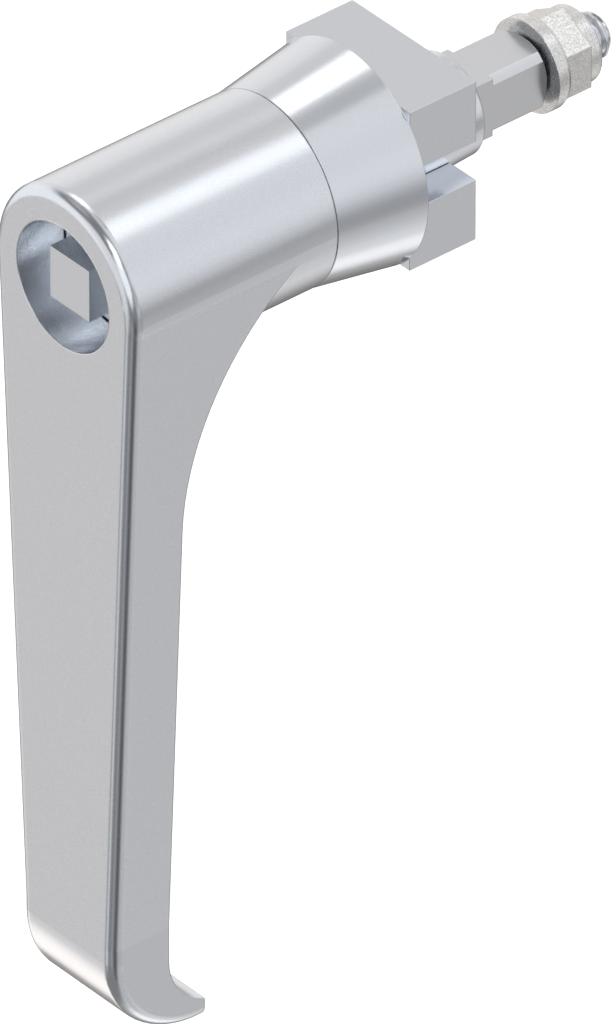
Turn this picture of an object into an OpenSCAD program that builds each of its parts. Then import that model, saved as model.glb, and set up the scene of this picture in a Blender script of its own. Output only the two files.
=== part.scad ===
// L-shaped quarter-turn handle with a square-key lock core, a square panel spigot and a cam spindle.
// Frame in millimetres: the origin is on the turning axis at the collar's back face.
// +X is to the right of someone facing the handle, +Y runs back through the panel and +Z is up.

/* [Handle] */
// Diameter of the hub barrel
hub_d = 25; // [23:0.1:28]
// Length of the hub from its front face to the seam with the collar
hub_l = 30.8; // [28:0.1:36]
// Drop from the turning axis to the lowest point of the lever
lever_drop = 105.4; // [90:0.1:130]
// Thickness of the lever from front to back
lever_t = 8.6; // [7:0.1:11]
// Width of the lever where it leaves the hub
lever_top_w = 24.98; // [22:0.01:25]
// Width of the lever at its lower bend
lever_low_w = 16.6; // [14:0.1:20]
// Rounding of the front edges
edge_r = 1.6; // [0.8:0.1:2.2]
// Radius of the lower front bend
bend_r = 13.5; // [12:0.1:18]
// Radius of the hollow behind the lower lip
lip_r = 8.35; // [7:0.05:9]
// Radius of the web that joins the lever to the hub
web_r = 37.6; // [34:0.1:50]
// Height of the web below the axis, where it runs out into the lever
web_drop = 32.4; // [28:0.1:36]
// Length of the lip from the front face to its end
lip_l = 14; // [12.5:0.1:15]
// Thickness of the lip under its hollow
lip_t = 2.3; // [1.8:0.1:3]
// Rounding of the lip's lower end
lip_end_r = 1; // [0.5:0.05:1.2]

/* [Lock core] */
// Diameter of the key recess in the front face
recess_d = 16.5; // [15:0.1:18]
// Depth of the key recess down to the core
recess_l = 7.2; // [5:0.1:9]
// Width across the flats of the square key pin
key_w = 7; // [6:0.1:8]
// Depth of the key pin's end below the front face
key_set = 1.05; // [0.5:0.05:2]
// Gap round the core's flange at the bottom of the recess
core_gap = 0.25; // [0.15:0.05:0.4]
// Thickness of the core's flange
core_flange_l = 2.4; // [2:0.1:3]
// Wall of the stub around the core's shank
core_wall = 1.9; // [1.7:0.05:2.4]
// Travel of the lock slide for a quarter turn of the core
slide_travel = 2.2; // [1.8:0.1:2.4]
// Width of the lock slide
slide_w = 6.4; // [6:0.1:6.8]
// Thickness of the lock slide
slide_t = 3; // [2.4:0.1:3.2]

/* [Housing] */
// Diameter of the collar at the panel
collar_d = 28.7; // [27:0.1:31]
// Length of the collar from the seam to the panel
collar_l = 12; // [11:0.1:14]
// Side of the square block behind the panel
block_w = 22; // [20:0.1:24]
// Length of the square block
block_l = 10; // [9:0.1:12]
// Height of the windows in the block's sides
window_h = 5.4; // [4.5:0.1:6.5]
// Diameter of the stub that turns in the housing
stub_d = 13.8; // [13.4:0.1:14.4]
// Length of the stub behind the block
stub_out = 5.6; // [4:0.1:8]
// Angle that the handle turns through
turn = 90; // [60:5:90]

/* [Spindle and nut] */
// Side of the square spindle
square_w = 8; // [7:0.1:8.2]
// Length of the full square behind the stub
square_l = 2.95; // [2:0.05:5]
// Diameter of the turned corners at the cam seat
seat_d = 10.1; // [9.4:0.1:10.6]
// Length of the cam seat
seat_l = 8.25; // [6:0.05:12]
// Diameter of the threaded stud
stud_d = 6; // [5:0.1:6.6]
// Length of the stud behind the cam seat
stud_l = 11.2; // [10.2:0.1:16]
// Width across the flats of the nut
nut_af = 10; // [9:0.1:11]
// Diameter of the nut's flange
nut_flange_d = 12; // [11.6:0.1:14]
// Gap between the cam seat and the nut
nut_gap = 0.3; // [0.2:0.05:2]

/* [Fits] */
// Radial clearance of parts that turn or slide
run_gap = 0.05; // [0.02:0.01:0.08]
// Radial clearance of parts that are fixed together
set_gap = 0.02; // [0.01:0.01:0.03]
// Face clearance at the hub seam
seam_gap = 0.1; // [0.05:0.05:0.15]

/* [Hidden] */
$fn = 96;
eps = 0.01;
over = 1;
big = 300;
hex = 6;

// Lengthwise stations, all measured from the collar's back face
seam_y = -collar_l;
front_y = seam_y - hub_l;
floor_y = front_y + recess_l;
flange_back_y = floor_y + core_flange_l;
stub_end_y = block_l + stub_out;
seat_y = stub_end_y + square_l;
square_end_y = seat_y + seat_l;
stud_end_y = square_end_y + stud_l;

// Lever profile in the plane through the axis
back_y = front_y + lever_t;
bend_y = front_y + bend_r;
bend_z = bend_r - lever_drop;
lip_y = back_y + lip_r;
lip_end_y = front_y + lip_l;
lip_z = lip_t + lip_r - lever_drop;
web_y = back_y + web_r;
mitre_h = 2;
mitre_z = bend_z + mitre_h;
taper = atan((lever_top_w - lever_low_w) / 2 / -mitre_z);

// Lock slide, crank and their pockets
core_d = stub_d - 2 * core_wall;
slide_y = seam_y / 2;
guide_t = slide_t + 2 * run_gap;
guide_w = slide_w + 2 * run_gap;
crank_e = slide_travel / (2 * sin(45));
crank_r = 0.9;
crank_play = 0.1;
end_set = 0.1;
tip_set = 0.15;
slide_tip = sqrt(pow(stub_d / 2, 2) - pow(slide_w / 2, 2)) - tip_set;
slide_tail = 4;
tail_play = 0.2;
pocket_play = 0.3;
pocket_r = slide_tip + slide_travel + pocket_play;
core_end_y = slide_y - slide_t / 2 - 3 * run_gap;
pin_r = 1;
pin_land = 1.5;
pin_bite = 0.8;
pin_y = core_end_y - pin_r - pin_land;
pin_x = core_d / 2 - pin_bite + pin_r;
pin_l = 2 * (sqrt(pow(stub_d / 2, 2) - pow(pin_x + pin_r, 2)) - end_set);
pin_play = 0.1;

// Seals
seal_r = 0.75;
seal_w = 2.1;
core_seal_set = 4;
shaft_seal_set = 10;
core_seal_y = flange_back_y + core_seal_set;
core_bore_r = core_d / 2 + run_gap;
core_seal_r = core_bore_r - seal_r - set_gap;
stub_bore_r = stub_d / 2 + run_gap;
shaft_seal_y = seam_y + shaft_seal_set;
shaft_seal_r = stub_bore_r - seal_r - set_gap;

// Snap ring between the stub and the collar's bore, open where the core pin crosses it
ring_t = 1.4;
ring_w = 0.85;
ring_bite = 0.4;
ring_play = 0.1;
ring_side = 4;
ring_in = stub_d / 2 - ring_bite;
groove_r = stub_d / 2 - ring_w;
ring_y = pin_y;
ring_open = 2 * (acos((pin_x - pin_r - set_gap) / (stub_d / 2)) + ring_side);
snap_r = ring_in + ring_w + run_gap;

// Stops that end the handle's turn
stop_wall = 1.6;
stop_rim = 1.4;
stop_side = 0.3;
stop_end = 0.2;
stop_in = stub_d / 2 + stop_wall;
stop_out = hub_d / 2 - stop_rim;
stop_l = 1.8;
stop_arc = 24;
stop_play = 0.6;

// Spindle fixing
socket_wall = 5.5;
cross_set = 3.2;
socket_y = slide_y + guide_t / 2 + socket_wall;
cross_r = 1.5;
cross_y = socket_y + cross_set;
cross_l = 2 * (sqrt(pow(stub_d / 2, 2) - pow(cross_r, 2)) - end_set);
stub_draft = 0.3;
stub_end_r = stub_d / 2 - stub_draft;
stub_edge = 0.5;

// Turned end of the cam seat
seat_bevel = 30;
seat_edge = (seat_d - square_w) / 2 * tan(seat_bevel);

// Flange nut lengths
nut_y = square_end_y + nut_gap;
nut_flange_l = 1.9;
nut_rim_l = 1.45;
nut_rim_set = 0.25;
nut_hex_l = 3.75;
nut_collar_l = 2;
nut_collar_step = 0.1;
nut_collar_d = nut_af - 2 * nut_collar_step;
nut_round = 0.5;
stud_edge = 0.7;

// Turns a shape drawn along Z so that it runs along +Y from the station y
module along_y(y) {
  translate([0, y, 0])
    rotate([-90, 0, 0])
      children();
}

// Round bar along Y between two stations
module bar(r, y0, y1) {
  along_y(y0)
    cylinder(r = r, h = y1 - y0);
}

// O-ring around the axis at the station y
module seal(r, y) {
  along_y(y)
    rotate_extrude()
      translate([r, 0])
        circle(r = seal_r, $fn = 48);
}

// Arc of a ring about the axis, from the top towards the right, between two stations
module arc_y(r0, r1, y0, y1, from, span) {
  translate([0, y1, 0])
    rotate([90, 0, 0])
      rotate([0, 0, 90 - from - span])
        rotate_extrude(angle = span)
          translate([r0, 0])
            square([r1 - r0, y1 - y0]);
}

// Side profile of the lever, drawn with Y to the right and Z up
module lever_profile() {
  translate([front_y, bend_z])
    square([lever_t, -bend_z]);
  difference() {
    translate([back_y - eps, -web_drop])
      square([web_r / 2, web_drop]);
    translate([web_y, -web_drop])
      circle(r = web_r, $fn = 180);
  }
  difference() {
    intersection() {
      translate([bend_y, bend_z])
        circle(r = bend_r, $fn = 180);
      translate([front_y - over, -lever_drop - over])
        square([lip_l + over, bend_r + over]);
    }
    translate([lip_y, lip_z])
      circle(r = lip_r);
    translate([back_y, lip_z])
      square([lip_r, bend_r]);
    translate([lip_end_y, -lever_drop])
      mirror([0, 1])
        edge_section(lip_end_r);
  }
}

// Front outline of the lever, drawn with X to the right and Z up
module lever_outline() {
  polygon([[-lever_top_w / 2, 0], [lever_top_w / 2, 0], [lever_low_w / 2, mitre_z],
           [lever_low_w / 2, -lever_drop - over], [-lever_low_w / 2, -lever_drop - over],
           [-lever_low_w / 2, mitre_z]]);
}

// Corner piece that leaves a rounded edge when it is taken away
module edge_section(r) {
  difference() {
    translate([-r, -r])
      square(r + over);
    translate([-r, -r])
      rotate(-135)
        circle(r = r, $fn = 64);
  }
}

// Space above the plane where the tapered edge turns into the straight one
module above_mitre() {
  translate([lever_low_w / 2, 0, mitre_z])
    rotate([0, taper / 2, 0])
      translate([-big / 2, -big / 2, 0])
        cube(big);
}

// Rounds the right front edge along the lever's taper
module taper_edge() {
  intersection() {
    translate([lever_top_w / 2, front_y, 0])
      rotate([0, taper, 0])
        translate([0, 0, -2 * lever_drop])
          linear_extrude(height = 2 * lever_drop + hub_d / 2)
            mirror([0, 1])
              edge_section(edge_r);
    above_mitre();
  }
}

// Rounds the short straight edge between the taper and the bend
module straight_edge() {
  difference() {
    translate([lever_low_w / 2, front_y, bend_z])
      linear_extrude(height = 2 * (mitre_z - bend_z))
        mirror([0, 1])
          edge_section(edge_r);
    above_mitre();
  }
}

// Rounds the right front edge of the lever around the bend
module bend_edge() {
  translate([0, bend_y, bend_z])
    rotate([0, 90, 0])
      rotate([0, 0, -90])
        rotate_extrude(angle = 95)
          translate([bend_r, lever_low_w / 2])
            edge_section(edge_r);
}

module lever() {
  difference() {
    intersection() {
      translate([-big / 2, 0, 0])
        rotate([90, 0, 90])
          linear_extrude(height = big)
            lever_profile();
      translate([0, big / 2, 0])
        rotate([90, 0, 0])
          linear_extrude(height = big)
            lever_outline();
    }
    taper_edge();
    straight_edge();
    bend_edge();
    mirror([1, 0, 0])
      taper_edge();
    mirror([1, 0, 0])
      straight_edge();
    mirror([1, 0, 0])
      bend_edge();
  }
}

// Hub barrel with its rounded front edge
module hub() {
  difference() {
    bar(hub_d / 2, front_y, seam_y - seam_gap);
    along_y(front_y)
      rotate_extrude()
        translate([hub_d / 2, 0])
          mirror([0, 1])
            edge_section(edge_r);
  }
}

// Stub that passes through the housing, tapered at its free end
module stub() {
  along_y(seam_y - over)
    rotate_extrude()
      polygon([[0, 0], [stub_d / 2, 0], [stub_d / 2, block_l - seam_y + over],
               [stub_end_r, stub_end_y - seam_y + over - stub_edge],
               [stub_end_r - stub_edge, stub_end_y - seam_y + over], [0, stub_end_y - seam_y + over]]);
}

module handle() {
  color("silver")
    difference() {
      union() {
        lever();
        hub();
        stub();
        arc_y(stop_in, stop_out, seam_y - seam_gap - over, seam_y + stop_l - seam_gap, 0, stop_arc);
      }
      bar(recess_d / 2, front_y - over, flange_back_y);
      bar(core_bore_r, flange_back_y - eps, core_end_y + 2 * run_gap);
      translate([-slide_tail - tail_play, slide_y - guide_t / 2, -guide_w / 2])
        cube([hub_d, guide_t, guide_w]);
      translate([-pin_x, pin_y, -hub_d / 2])
        cylinder(r = pin_r + set_gap, h = hub_d, $fn = 48);
      along_y(shaft_seal_y - seal_w / 2)
        difference() {
          cylinder(r = stub_d, h = seal_w);
          translate([0, 0, -over])
            cylinder(r = shaft_seal_r - seal_r - set_gap, h = seal_w + 2 * over);
        }
      along_y(ring_y - ring_t / 2 - ring_play)
        difference() {
          cylinder(r = stub_d, h = ring_t + 2 * ring_play);
          translate([0, 0, -over])
            cylinder(r = groove_r, h = ring_t + 2 * ring_play + 2 * over);
        }
      translate([-square_w / 2 - set_gap, socket_y, -square_w / 2 - set_gap])
        cube([square_w + 2 * set_gap, big, square_w + 2 * set_gap]);
      translate([0, cross_y, -hub_d / 2])
        cylinder(r = cross_r + set_gap, h = hub_d, $fn = 48);
    }
}

module lock_core() {
  color("gainsboro")
    difference() {
      union() {
        translate([-key_w / 2, front_y + key_set, -key_w / 2])
          cube([key_w, recess_l - key_set + over, key_w]);
        bar(recess_d / 2 - core_gap, floor_y, flange_back_y - run_gap);
        bar(core_d / 2, flange_back_y - over, core_end_y);
        translate([-crank_e * sin(45), 0, crank_e * sin(45)])
          bar(crank_r, core_end_y - over, slide_y + slide_t / 2);
      }
      along_y(core_seal_y - seal_w / 2)
        difference() {
          cylinder(r = core_d, h = seal_w);
          translate([0, 0, -over])
            cylinder(r = core_seal_r - seal_r - set_gap, h = seal_w + 2 * over);
        }
      along_y(pin_y - pin_r - pin_play)
        difference() {
          cylinder(r = core_d, h = 2 * (pin_r + pin_play));
          translate([0, 0, -over])
            cylinder(r = pin_x - pin_r - run_gap, h = 2 * (pin_r + pin_play + over));
        }
    }
}

module core_seal() {
  color("dimgray")
    seal(core_seal_r, core_seal_y);
}

module core_pin() {
  color("gray")
    translate([-pin_x, pin_y, -pin_l / 2])
      cylinder(r = pin_r, h = pin_l, $fn = 48);
}

module lock_slide() {
  color("gray")
    difference() {
      translate([-slide_tail, slide_y - slide_t / 2, -slide_w / 2])
        cube([slide_tail + slide_tip, slide_t, slide_w]);
      translate([-crank_e * sin(45) - crank_r - crank_play, slide_y - slide_t,
                 crank_e * sin(45) - crank_r - crank_play])
        cube([2 * (crank_r + crank_play), 2 * slide_t,
              crank_e * (1 - sin(45)) + 2 * (crank_r + crank_play)]);
    }
}

// Pocket in the housing's bore that takes the end of the lock slide
module lock_pocket() {
  translate([0, slide_y - guide_t / 2 - pocket_play, -slide_w / 2 - pocket_play])
    cube([pocket_r, guide_t + 2 * pocket_play, slide_w + 2 * pocket_play]);
}

module housing() {
  color("lightgray")
    difference() {
      union() {
        along_y(seam_y)
          cylinder(r1 = hub_d / 2, r2 = collar_d / 2, h = collar_l);
        translate([-block_w / 2, 0, -block_w / 2])
          cube([block_w, block_l, block_w]);
      }
      bar(stub_bore_r, seam_y - over, block_l + over);
      bar(snap_r, ring_y - ring_t / 2 - ring_play, ring_y + ring_t / 2 + ring_play);
      translate([-block_w, 0, -window_h / 2])
        cube([2 * block_w, block_l + over, window_h]);
      lock_pocket();
      rotate([0, turn, 0])
        lock_pocket();
      arc_y(stop_in - stop_side, stop_out + stop_side, seam_y - over, seam_y + stop_l + stop_end,
            -stop_play, turn + stop_arc + 2 * stop_play);
    }
}

module shaft_seal() {
  color("dimgray")
    seal(shaft_seal_r, shaft_seal_y);
}

module retaining_ring() {
  color("gray")
    translate([0, ring_y + ring_t / 2, 0])
      rotate([90, 0, 0])
        rotate([0, 0, 180 + ring_open / 2])
          rotate_extrude(angle = 360 - ring_open)
            translate([ring_in, 0])
              square([ring_w, ring_t]);
}

module spindle() {
  color("darkgray")
    difference() {
      union() {
        translate([-square_w / 2, socket_y + run_gap, -square_w / 2])
          cube([square_w, seat_y - socket_y - run_gap, square_w]);
        intersection() {
          translate([-square_w / 2, seat_y - over, -square_w / 2])
            cube([square_w, seat_l + over, square_w]);
          along_y(seat_y - over)
            rotate_extrude()
              polygon([[0, 0], [seat_d / 2, 0],
                       [seat_d / 2, seat_l + over - seat_edge],
                       [square_w / 2, seat_l + over], [0, seat_l + over]]);
        }
        along_y(square_end_y - over)
          rotate_extrude()
            polygon([[0, 0], [stud_d / 2, 0], [stud_d / 2, stud_l + over - stud_edge],
                     [stud_d / 2 - stud_edge, stud_l + over], [0, stud_l + over]]);
      }
      translate([0, cross_y, -hub_d / 2])
        cylinder(r = cross_r + set_gap, h = hub_d, $fn = 48);
    }
}

module spindle_pin() {
  color("gray")
    translate([0, cross_y, -cross_l / 2])
      cylinder(r = cross_r, h = cross_l, $fn = 48);
}

module flange_nut() {
  color("lightgray")
    difference() {
      union() {
        along_y(nut_y)
          rotate_extrude()
            polygon([[0, 0], [nut_flange_d / 2, 0], [nut_flange_d / 2, nut_rim_l],
                     [nut_flange_d / 2 - nut_rim_set, nut_flange_l], [0, nut_flange_l]]);
        along_y(nut_y + over)
          rotate([0, 0, 30])
            cylinder(d = nut_af / cos(30), h = nut_flange_l + nut_hex_l - over, $fn = hex);
        along_y(nut_y + over)
          rotate_extrude()
            union() {
              square([nut_collar_d / 2, nut_flange_l + nut_hex_l + nut_collar_l - nut_round - over]);
              square([nut_collar_d / 2 - nut_round, nut_flange_l + nut_hex_l + nut_collar_l - over]);
              translate([nut_collar_d / 2 - nut_round,
                         nut_flange_l + nut_hex_l + nut_collar_l - nut_round - over])
                circle(r = nut_round, $fn = 48);
            }
      }
      bar(stud_d / 2 + set_gap, nut_y - over, stud_end_y + over);
    }
}

handle();
lock_core();
core_seal();
core_pin();
lock_slide();
housing();
shaft_seal();
retaining_ring();
spindle();
spindle_pin();
flange_nut();
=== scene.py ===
import bpy
import bmesh
import math
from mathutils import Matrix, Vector


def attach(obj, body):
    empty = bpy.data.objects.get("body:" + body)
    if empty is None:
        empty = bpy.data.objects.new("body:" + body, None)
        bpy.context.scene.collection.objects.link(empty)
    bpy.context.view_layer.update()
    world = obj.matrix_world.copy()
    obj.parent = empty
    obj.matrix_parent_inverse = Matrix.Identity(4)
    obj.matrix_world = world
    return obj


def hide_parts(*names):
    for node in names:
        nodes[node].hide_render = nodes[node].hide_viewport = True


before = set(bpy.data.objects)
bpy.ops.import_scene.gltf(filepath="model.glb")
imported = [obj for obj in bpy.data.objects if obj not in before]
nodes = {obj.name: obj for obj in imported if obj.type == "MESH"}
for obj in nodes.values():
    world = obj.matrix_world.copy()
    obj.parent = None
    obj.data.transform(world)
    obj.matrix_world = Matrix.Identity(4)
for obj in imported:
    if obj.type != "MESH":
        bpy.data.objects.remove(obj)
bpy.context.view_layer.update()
scene = bpy.context.scene
scene.view_settings.view_transform = "Standard"
mm = 0.001
print("frame loaded:", len(nodes), "pieces")


def linear(hexColour):
    def channel(c):
        return c / 12.92 if c <= 0.04045 else ((c + 0.055) / 1.055) ** 2.4
    return tuple(channel(int(hexColour[i:i + 2], 16) / 255) for i in (1, 3, 5)) + (1.0,)


# adds one node: plain settings, then values on its inputs, then links into its inputs
def addNode(tree, kind, settings=None, values=None, links=None):
    node = tree.nodes.new(kind)
    for name, value in (settings or {}).items():
        setattr(node, name, value)
    for name, value in (values or {}).items():
        node.inputs[name].default_value = value
    for name, socket in (links or {}).items():
        tree.links.new(socket, node.inputs[name])
    return node


def newMaterial(name):
    material = bpy.data.materials.new(name)
    material.use_nodes = True
    material.node_tree.nodes.clear()
    return material, material.node_tree


# noise with a grain of this many millimetres
def grainNoise(tree, vector, sizeMm, detail, roughness=0.5):
    return addNode(tree, "ShaderNodeTexNoise", None,
                   {"Scale": 1.0 / (sizeMm * mm), "Detail": detail, "Roughness": roughness}, {"Vector": vector})


# noise keeps near its middle: this stretches that part of it between two values
speckReach = (0.35, 0.65)
cloudReach = (0.3, 0.7)


def stretched(tree, noise, reach, low=0.0, high=1.0):
    return addNode(tree, "ShaderNodeMapRange", None,
                   {"From Min": reach[0], "From Max": reach[1], "To Min": low, "To Max": high},
                   {"Value": noise.outputs["Fac"]})


# colour between the dull and the bright end of a finish
def dullToBright(tree, finish, factor):
    return addNode(tree, "ShaderNodeMix", {"data_type": "RGBA"},
                   {"A": linear(finish["dull"]), "B": linear(finish["colour"])}, {"Factor": factor})


edgeSamples = 6


# ends a material: its grain stands out a little, and sharp corners are softened in the shading where it has edgeMm
def closeMaterial(tree, finish, grain, values, links):
    bumpLinks = {"Height": grain.outputs["Fac"]}
    if "edgeMm" in finish:
        edge = addNode(tree, "ShaderNodeBevel", {"samples": edgeSamples}, {"Radius": finish["edgeMm"] * mm})
        bumpLinks["Normal"] = edge.outputs["Normal"]
    bump = addNode(tree, "ShaderNodeBump", None,
                   {"Strength": finish["bumpStrength"], "Distance": finish["bumpMm"] * mm}, bumpLinks)
    shader = addNode(tree, "ShaderNodeBsdfPrincipled", None, values, dict(links, Normal=bump.outputs["Normal"]))
    addNode(tree, "ShaderNodeOutputMaterial", None, None, {"Surface": shader.outputs["BSDF"]})


# The key recess, which the blasting doesn't reach, is rougher; its colour is painted light: paler and a little bluer
# than the casting, so that the shaded recess renders lighter and bluish.
recessPaintedLight = {"fromMm": -42.70, "toMm": -33.0, "insideMm": 8.28, "colour": "#FFFFFF", "dull": "#D8E0EB",
              "roughness": 0.26}
# Zinc die casting, bead blasted and satin nickel plated: an even cool grey with a fine sandy grain
# and soft, wide highlights.
castingFinish = {"colour": "#DFE3EA", "dull": "#D7DBE2", "roughness": (0.13, 0.17),
                 "grainMm": 0.16, "grainDetail": 3.0, "grainRoughness": 0.6, "cloudMm": 9.0, "cloudDetail": 2.0,
                 "bumpStrength": 1.0, "bumpMm": 0.008, "edgeMm": 0.28, "paintedRecess": recessPaintedLight}
# The same plating on the housing, polished a little brighter before it was plated.
housingFinish = dict(castingFinish, colour="#DEE2E9", dull="#D9DDE4", roughness=(0.11, 0.15),
                     bumpMm=0.006, edgeMm=0.16, paintedRecess=None)
# The lock core is cast in zinc and plated with the rest; only its key end is blasted. Inside the key recess it gets
# the recess's painted light too, over a slightly shorter stretch along the axis.
coreFinish = dict(castingFinish, cloudMm=5.0, edgeMm=0.10, paintedRecess=dict(recessPaintedLight, fromMm=-41.70))


# lays the recess's painted light, a paler and bluer colour, and its rougher sheen over a finish, between two depths
# and inside a radius round the turning axis
def paintRecessLight(tree, place, paintedRecess, specks, tint, sheen):
    parts = addNode(tree, "ShaderNodeSeparateXYZ", None, None, {"Vector": place.outputs["Object"]})
    flat = addNode(tree, "ShaderNodeCombineXYZ", None, None, {"X": parts.outputs["X"], "Z": parts.outputs["Z"]})
    reach = addNode(tree, "ShaderNodeVectorMath", {"operation": "LENGTH"}, None, {0: flat.outputs["Vector"]})
    inside = addNode(tree, "ShaderNodeMath", {"operation": "LESS_THAN"}, {1: paintedRecess["insideMm"] * mm},
                     {0: reach.outputs["Value"]})
    middle, half = (paintedRecess["fromMm"] + paintedRecess["toMm"]) / 2, (paintedRecess["toMm"] - paintedRecess["fromMm"]) / 2
    along = addNode(tree, "ShaderNodeMath", {"operation": "COMPARE"}, {1: middle * mm, 2: half * mm},
                    {0: parts.outputs["Y"]})
    here = addNode(tree, "ShaderNodeMath", {"operation": "MULTIPLY"}, None,
                   {0: inside.outputs["Value"], 1: along.outputs["Value"]})
    # the recess's colour, painted paler and bluer than the casting: painted light
    paintedRecessColour = dullToBright(tree, paintedRecess, specks.outputs["Result"])
    tint = addNode(tree, "ShaderNodeMix", {"data_type": "RGBA"}, None,
                   {"Factor": here.outputs["Value"], "A": tint.outputs["Result"], "B": paintedRecessColour.outputs["Result"]})
    sheen = addNode(tree, "ShaderNodeMix", {"data_type": "FLOAT"}, {"B": paintedRecess["roughness"]},
                    {"Factor": here.outputs["Value"], "A": sheen.outputs["Result"]})
    return tint, sheen


def satinNickel(name, finish):
    material, tree = newMaterial(name)
    place = addNode(tree, "ShaderNodeTexCoord")
    # real bead marks are about 0.05 mm; they are drawn coarser so that they show
    grain = grainNoise(tree, place.outputs["Object"], finish["grainMm"], finish["grainDetail"],
                       finish["grainRoughness"])
    cloud = grainNoise(tree, place.outputs["Object"], finish["cloudMm"], finish["cloudDetail"])
    specks = stretched(tree, grain, speckReach)
    tint = dullToBright(tree, finish, specks.outputs["Result"])
    sheen = stretched(tree, cloud, cloudReach, *finish["roughness"])
    # painted light in the key recess, where the finish has it
    if finish["paintedRecess"]:
        tint, sheen = paintRecessLight(tree, place, finish["paintedRecess"], specks, tint, sheen)
    closeMaterial(tree, finish, grain, {"Metallic": 1.0},
                  {"Base Color": tint.outputs["Result"], "Roughness": sheen.outputs["Result"]})
    return material


# Bright drawn steel with a thin zinc plate: bluish white, with fine marks round the turned faces.
steelFinish = {"colour": "#DBDEE3", "dull": "#D8DBE0", "roughness": 0.26,
               "markMm": 0.30, "markDetail": 3.0, "markRoughness": 0.55, "markStretch": (0.06, 1.0, 0.06),
               "bumpStrength": 0.4, "bumpMm": 0.002, "edgeMm": 0.15}
# Bright spring steel of the pins, the slide and the snap ring: bare, so a little greyer than the plated bar.
pinFinish = dict(steelFinish, colour="#D0D1D4", dull="#C0C1C4", roughness=0.24)
# The cut thread is smoother than the bar, and its plate is passivated a faint blue.
threadFinish = dict(steelFinish, colour="#E2E3E6", dull="#C4C9D2", roughness=0.10)


def drawnSteel(name, finish):
    material, tree = newMaterial(name)
    place = addNode(tree, "ShaderNodeTexCoord")
    # tool marks ring the axis: the pattern is stretched across Y
    across = addNode(tree, "ShaderNodeMapping", None, {"Scale": finish["markStretch"]},
                     {"Vector": place.outputs["Object"]})
    marks = grainNoise(tree, across.outputs["Vector"], finish["markMm"], finish["markDetail"],
                       finish["markRoughness"])
    tint = dullToBright(tree, finish, marks.outputs["Fac"])
    closeMaterial(tree, finish, marks, {"Metallic": 1.0, "Roughness": finish["roughness"]},
                  {"Base Color": tint.outputs["Result"]})
    return material


# Flaked zinc baked on the nut: a pale grey, mottled by the overlapping flakes, which shine where they are bright.
nutFinish = {"colour": "#F4F4F4", "dull": "#C8C8C8", "brightRoughness": 0.24, "dullRoughness": 0.34,
             "flakeMm": 0.22, "flakeDetail": 4.0, "flakeRoughness": 0.65,
             "bumpStrength": 0.5, "bumpMm": 0.02, "edgeMm": 0.18}


def flakedZinc(name, finish):
    material, tree = newMaterial(name)
    place = addNode(tree, "ShaderNodeTexCoord")
    flakes = grainNoise(tree, place.outputs["Object"], finish["flakeMm"], finish["flakeDetail"],
                        finish["flakeRoughness"])
    tint = dullToBright(tree, finish, stretched(tree, flakes, speckReach).outputs["Result"])
    sheen = stretched(tree, flakes, speckReach, finish["dullRoughness"], finish["brightRoughness"])
    closeMaterial(tree, finish, flakes, {"Metallic": 1.0},
                  {"Base Color": tint.outputs["Result"], "Roughness": sheen.outputs["Result"]})
    return material


# Moulded nitrile rubber: near black and matte, with a faint mould grain.
rubberFinish = {"colour": "#1C1C1D", "dull": "#131314", "roughness": 0.62, "ior": 1.52,
                "grainMm": 0.15, "grainDetail": 2.0, "bumpStrength": 0.5, "bumpMm": 0.01}


def nitrileRubber(name, finish):
    material, tree = newMaterial(name)
    place = addNode(tree, "ShaderNodeTexCoord")
    grain = grainNoise(tree, place.outputs["Object"], finish["grainMm"], finish["grainDetail"])
    tint = dullToBright(tree, finish, grain.outputs["Fac"])
    closeMaterial(tree, finish, grain, {"Metallic": 0.0, "IOR": finish["ior"], "Roughness": finish["roughness"]},
                  {"Base Color": tint.outputs["Result"]})
    return material


finishes = {
    "satin_casting": satinNickel("satinNickelCasting", castingFinish),
    "satin_housing": satinNickel("satinNickelHousing", housingFinish),
    "core_metal": satinNickel("satinNickelCore", coreFinish),
    "spindle_steel": drawnSteel("zincPlatedDrawnSteel", steelFinish),
    "pin_steel": drawnSteel("brightSpringSteel", pinFinish),
    "zinc_nut": flakedZinc("flakedZincNut", nutFinish),
    "seal_rubber": nitrileRubber("mouldedNitrileRubber", rubberFinish),
}
threadSteel = drawnSteel("bluePassivatedThread", threadFinish)
nodeSlots = {
    "handle": "satin_casting", "lock_core": "core_metal", "core_seal": "seal_rubber",
    "core_pin": "pin_steel", "lock_slide": "pin_steel", "housing": "satin_housing",
    "shaft_seal": "seal_rubber", "retaining_ring": "pin_steel", "spindle": "spindle_steel",
    "spindle_pin": "pin_steel", "flange_nut": "zinc_nut",
}
for nodeName, slotName in nodeSlots.items():
    for materialSlot in nodes[nodeName].material_slots:
        materialSlot.material = finishes[slotName]
print("finishes:", len(finishes))

weldMm = 0.0005


# joins a bmesh to the scene as a finished piece with rounded faces smooth and corners sharp
def finishPiece(shape, name, materials, bodyName, cornerDeg=32):
    bmesh.ops.remove_doubles(shape, verts=shape.verts, dist=weldMm * mm)
    bmesh.ops.recalc_face_normals(shape, faces=shape.faces)
    mesh = bpy.data.meshes.new(name)
    shape.to_mesh(mesh)
    shape.free()
    oldNormals = mesh.attributes.get("custom_normal")
    if oldNormals:
        mesh.attributes.remove(oldNormals)
    mesh.shade_smooth()
    mesh.set_sharp_from_angle(angle=math.radians(cornerDeg))
    for material in materials:
        mesh.materials.append(material)
    piece = bpy.data.objects.new(name, mesh)
    scene.collection.objects.link(piece)
    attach(piece, bodyName)
    return piece


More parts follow.
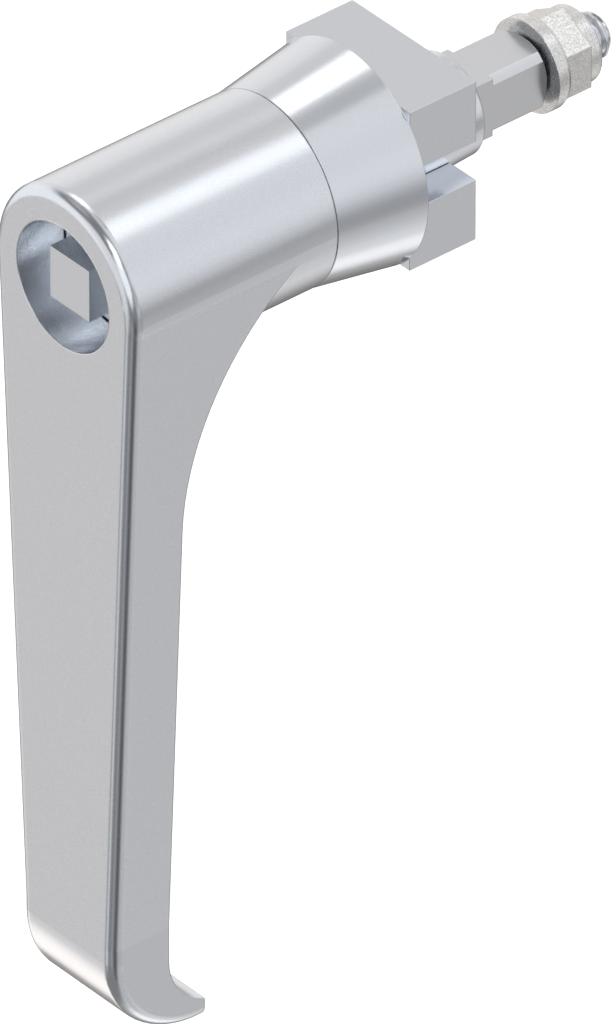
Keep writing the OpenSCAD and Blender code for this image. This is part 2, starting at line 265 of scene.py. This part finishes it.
# The spindle keeps its square and turned seat, and its stud gets a cut thread. The bar is trimmed just past the stud's
# start, the stud's core sinks into the bar, and the ridge bites into the core.
studThread = {"pitchMm": 1.0, "crestMm": 2.97, "rootMm": 2.42, "crestLandMm": 0.30, "rootLandMm": 0.82,
              "studFromMm": 26.80, "threadFromMm": 27.0, "studEndMm": 38.0, "leadMm": 0.7, "stepsPerTurn": 48,
              "trimMm": 0.02, "sinkMm": 1.0, "tipMm": 0.12, "biteMm": 0.05, "endGapMm": 0.01, "coreSteps": 64}


def threadedSpindle(cut):
    shape = bmesh.new()
    shape.from_mesh(nodes["spindle"].data)
    bmesh.ops.remove_doubles(shape, verts=shape.verts, dist=weldMm * mm)
    base = cut["studFromMm"] * mm
    bmesh.ops.bisect_plane(shape, geom=shape.verts[:] + shape.edges[:] + shape.faces[:],
                           plane_co=(0, base + cut["trimMm"] * mm, 0), plane_no=(0, 1, 0), clear_outer=True)
    barFaces = set(shape.faces)
    # core of the stud at the thread's root, with its end bevelled
    root, end, tip = cut["rootMm"] * mm, cut["studEndMm"] * mm, cut["tipMm"] * mm
    sunk = base - cut["sinkMm"] * mm
    outline = [(0, sunk), (root, sunk), (root, end - tip), (root - tip, end), (0, end)]
    corners = [shape.verts.new((x, y, 0)) for x, y in outline]
    lines = [shape.edges.new(pair) for pair in zip(corners, corners[1:])]
    bmesh.ops.spin(shape, geom=corners + lines, cent=(0, 0, 0), axis=(0, 1, 0), dvec=(0, 0, 0),
                   angle=2 * math.pi, steps=cut["coreSteps"], use_merge=True)
    # the thread is one ridge wound along the stud
    crest, foot, pitch = cut["crestMm"] * mm, root - cut["biteMm"] * mm, cut["pitchMm"] * mm
    halfRoot, halfCrest = cut["rootLandMm"] * mm / 2, cut["crestLandMm"] * mm / 2
    start = cut["threadFromMm"] * mm
    turns = math.ceil((end - start) / pitch)
    steps = turns * cut["stepsPerTurn"]
    before = set(shape.verts)
    ridge = [shape.verts.new((r, start + y, 0)) for r, y in
             ((foot, -halfRoot), (crest, -halfCrest), (crest, halfCrest), (foot, halfRoot))]
    lines = [shape.edges.new(pair) for pair in zip(ridge, ridge[1:])]
    bmesh.ops.spin(shape, geom=ridge + lines, cent=(0, 0, 0), axis=(0, 1, 0), dvec=(0, pitch / steps * turns, 0),
                   angle=2 * math.pi * turns, steps=steps)
    # the ridge runs out on the stud's bevelled tip
    leadStart, lastY = end - cut["leadMm"] * mm, end - cut["endGapMm"] * mm
    for vertex in (v for v in shape.verts if v not in before):
        vertex.co.y = min(vertex.co.y, lastY)
        radius = math.hypot(vertex.co.x, vertex.co.z)
        limit = min(radius, crest - max(0.0, vertex.co.y - leadStart))
        vertex.co.x *= limit / radius
        vertex.co.z *= limit / radius
    for face in shape.faces:
        face.material_index = 0 if face in barFaces else 1
    return finishPiece(shape, "threaded_spindle", [finishes["spindle_steel"], threadSteel], "handle")


spindle = threadedSpindle(studThread)
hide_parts("spindle")
print("spindle threaded:", len(spindle.data.polygons), "faces")


# the housing as it is, welded along the seam of its cone so that the highlight runs on unbroken
def weldedHousing():
    shape = bmesh.new()
    shape.from_mesh(nodes["housing"].data)
    return finishPiece(shape, "welded_housing", [finishes["satin_housing"]], "housing")


housing = weldedHousing()
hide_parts("housing")
print("housing welded:", len(housing.data.polygons), "faces")

# pale floor under the part; the part hangs from its panel, so its shadow falls clear below it
floorLook = {"colour": "#F4F4F4", "belowM": 0.170, "sizeM": 6.0}
floorMesh = bpy.data.meshes.new("floor")
floorShape = bmesh.new()
bmesh.ops.create_grid(floorShape, x_segments=1, y_segments=1, size=floorLook["sizeM"] / 2)
bmesh.ops.translate(floorShape, verts=floorShape.verts, vec=(0, 0, -floorLook["belowM"]))
floorShape.to_mesh(floorMesh)
floorShape.free()
floor = bpy.data.objects.new("floor", floorMesh)
scene.collection.objects.link(floor)
floor.visible_glossy = False
# Matte white paper: plain and without gloss.
floorMaterial, tree = newMaterial("matteWhitePaper")
paper = addNode(tree, "ShaderNodeBsdfDiffuse", None, {"Color": linear(floorLook["colour"])})
addNode(tree, "ShaderNodeOutputMaterial", None, None, {"Surface": paper.outputs["BSDF"]})
floorMesh.materials.append(floorMaterial)

# square soft light straight above, for the floor and everything matte; it isn't seen in the metal
lampLook = {"aboveM": 1.6, "sideM": 1.6, "watts": 22.0}
lampData = bpy.data.lights.new("overheadSoftbox", "AREA")
lampData.shape = "RECTANGLE"
lampData.size, lampData.size_y = lampLook["sideM"], lampLook["sideM"]
lampData.energy = lampLook["watts"]
lamp = bpy.data.objects.new("overheadSoftbox", lampData)
lamp.location = (0, 0, lampLook["aboveM"])
lamp.visible_glossy = False
scene.collection.objects.link(lamp)

# studio walls behind the part, as brightness round the turning axis: degrees from the right, towards the top;
# they are a little warm, but for the cool ones between two angles
studioWalls = [(-180, 0.98), (-168, 0.90), (-156, 0.57), (-146, 0.33), (-136, 0.21), (-124, 0.23), (-112, 0.28),
               (-101, 0.44), (-90, 0.66), (-78, 0.79), (-64, 0.74), (-50, 0.62), (-41, 0.61), (-34, 0.50),
               (-24, 0.45), (-13, 0.69), (-2, 0.87), (12, 0.90), (36, 0.86), (60, 0.89), (90, 0.79),
               (106, 0.69), (119, 0.83), (134, 0.76), (144, 0.78), (156, 0.92), (168, 0.97), (180, 0.98)]
wallWarmth = 0.06
coolWalls = (-20, 84)
# in front of the part the room is dim, from this far forward on, but for its soft boxes
frontRoom = {"level": 0.26, "fromY": 0.05, "fullY": -0.35}
# soft boxes and dark flags round the part, each over the ones before it: direction, full and fading angle in degrees,
# brightness and warmth
studioBoxes = [((-0.15, -0.97, -0.05), 20, 38, 0.89, 0.02), ((0.68, -0.70, 0.20), 19, 28, 1.15, 0.0),
               ((-0.70, -0.70, -0.05), 18, 32, 1.08, 0.0), ((-0.95, -0.30, 0.02), 20, 36, 1.08, 0.0),
               ((-0.40, -0.45, 0.79), 8, 18, 0.50, 0.0), ((-0.84, 0.25, -0.48), 12, 20, 0.30, 0.0),
               ((-0.20, -0.80, -0.57), 5, 10, 0.75, 0.0), ((0.695, -0.433, -0.573), 6, 14, 0.12, 0.0),
               ((-0.63, -0.53, -0.57), 10, 17, 0.71, 0.08), ((-0.40, -0.71, -0.57), 2, 6, 0.40, 0.0),
               ((0.41, -0.71, -0.57), 2, 9, 0.42, 0.0), ((-0.63, 0.20, -0.75), 3, 16, 0.37, 0.10),
               ((-0.63, -0.15, -0.76), 3, 20, 1.28, 0.14), ((0.53, -0.53, 0.67), 8, 18, 2.10, 0.0),
               ((0.19, 0.24, -0.95), 2, 19, 1.28, 0.06), ((0.54, 0.34, -0.77), 2, 12, 0.92, 0.03),
               ((0.65, 0.16, -0.74), 2, 17, 0.60, 0.0), ((0.89, 0.28, -0.35), 2, 15, 0.40, 0.0),
               ((0.98, 0.10, -0.16), 2, 16, 0.67, 0.0), ((1.00, -0.06, 0.0), 8, 16, 0.52, 0.0),
               ((0.06, 0.22, 0.97), 5, 12, 0.58, 0.0), ((0.25, 0.5275, 0.811), 3, 14, 1.38, 0.0),
               ((-0.42, 0.20, 0.885), 12, 17, 1.60, 0.0), ((-0.63, 0.53, -0.57), 3, 12, 0.06, 0.0),
               ((0.0, 0.82, -0.57), 8, 20, 0.16, 0.0)]


# grey of this brightness, a little redder and less blue as it gets warmer
def warmGrey(level, warmth):
    return (level * (1 + warmth / 2), level, level * (1 - warmth / 2), 1.0)


world = bpy.data.worlds.new("softStudio")
scene.world = world
world.use_nodes = True
tree = world.node_tree
tree.nodes.clear()
direction = addNode(tree, "ShaderNodeTexCoord")
parts = addNode(tree, "ShaderNodeSeparateXYZ", None, None, {"Vector": direction.outputs["Generated"]})
angle = addNode(tree, "ShaderNodeMath", {"operation": "ARCTAN2"}, None,
                {0: parts.outputs["Z"], 1: parts.outputs["X"]})
turn = addNode(tree, "ShaderNodeMapRange", None, {"From Min": -math.pi, "From Max": math.pi},
               {"Value": angle.outputs["Value"]})
walls = addNode(tree, "ShaderNodeValToRGB", None, None, {"Fac": turn.outputs["Result"]})
walls.color_ramp.interpolation = "EASE"
stops = walls.color_ramp.elements
stops[0].position, stops[1].position = 0.0, 1.0
for wallDeg, level in studioWalls[1:-1]:
    stops.new((wallDeg + 180) / 360)
for stop, (wallDeg, level) in zip(stops, studioWalls):
    stop.position = (wallDeg + 180) / 360
    stop.color = warmGrey(level, 0.0 if coolWalls[0] < wallDeg < coolWalls[1] else wallWarmth)
ahead = addNode(tree, "ShaderNodeMapRange", {"interpolation_type": "SMOOTHSTEP"},
                {"From Min": frontRoom["fromY"], "From Max": frontRoom["fullY"]}, {"Value": parts.outputs["Y"]})
room = addNode(tree, "ShaderNodeMix", {"data_type": "RGBA"}, {"B": warmGrey(frontRoom["level"], 0.0)},
               {"Factor": ahead.outputs["Result"], "A": walls.outputs["Color"]})
for boxPlace, fullDeg, fadeDeg, level, warmth in studioBoxes:
    facing = addNode(tree, "ShaderNodeVectorMath", {"operation": "DOT_PRODUCT"},
                     {1: Vector(boxPlace).normalized()}, {0: direction.outputs["Generated"]})
    spread = addNode(tree, "ShaderNodeMapRange", {"interpolation_type": "SMOOTHSTEP"},
                     {"From Min": math.cos(math.radians(fadeDeg)), "From Max": math.cos(math.radians(fullDeg))},
                     {"Value": facing.outputs["Value"]})
    room = addNode(tree, "ShaderNodeMix", {"data_type": "RGBA"}, {"B": warmGrey(level, warmth)},
                   {"Factor": spread.outputs["Result"], "A": room.outputs["Result"]})
# only the camera sees the white surround: shown in the metal as well, it would wash out the bands of the studio
white = (1.0, 1.0, 1.0, 1.0)
rays = addNode(tree, "ShaderNodeLightPath")
seen = addNode(tree, "ShaderNodeMix", {"data_type": "RGBA"}, {"B": white},
               {"Factor": rays.outputs["Is Camera Ray"], "A": room.outputs["Result"]})
sky = addNode(tree, "ShaderNodeBackground", None, {"Strength": 1.0}, {"Color": seen.outputs["Result"]})
addNode(tree, "ShaderNodeOutputWorld", None, None, {"Surface": sky.outputs["Background"]})
print("studio lit")

# long lens from the upper right front
cameraPlace = {"azimuthDeg": 49.777, "elevationDeg": 35.051, "lensMm": 1000, "sensorMm": 36.0, "pixelsPerMm": 8.675,
               "targetMm": (15.240, -18.982, -34.060), "imageHigh": 1024, "clipEndM": 20.0}
cameraData = bpy.data.cameras.new("camera")
cameraData.lens = cameraPlace["lensMm"]
cameraData.sensor_width = cameraPlace["sensorMm"]
cameraData.clip_end = cameraPlace["clipEndM"]
azimuth = math.radians(cameraPlace["azimuthDeg"])
elevation = math.radians(cameraPlace["elevationDeg"])
back = Vector((math.sin(azimuth) * math.cos(elevation), -math.cos(azimuth) * math.cos(elevation),
               math.sin(elevation)))
seenHigh = cameraPlace["imageHigh"] / cameraPlace["pixelsPerMm"] * mm
distance = seenHigh * cameraData.lens / cameraData.sensor_width
camera = bpy.data.objects.new("camera", cameraData)
camera.location = Vector(cameraPlace["targetMm"]) * mm + back * distance
camera.rotation_euler = back.to_track_quat("Z", "Y").to_euler()
scene.collection.objects.link(camera)
scene.camera = camera

print("camera set")
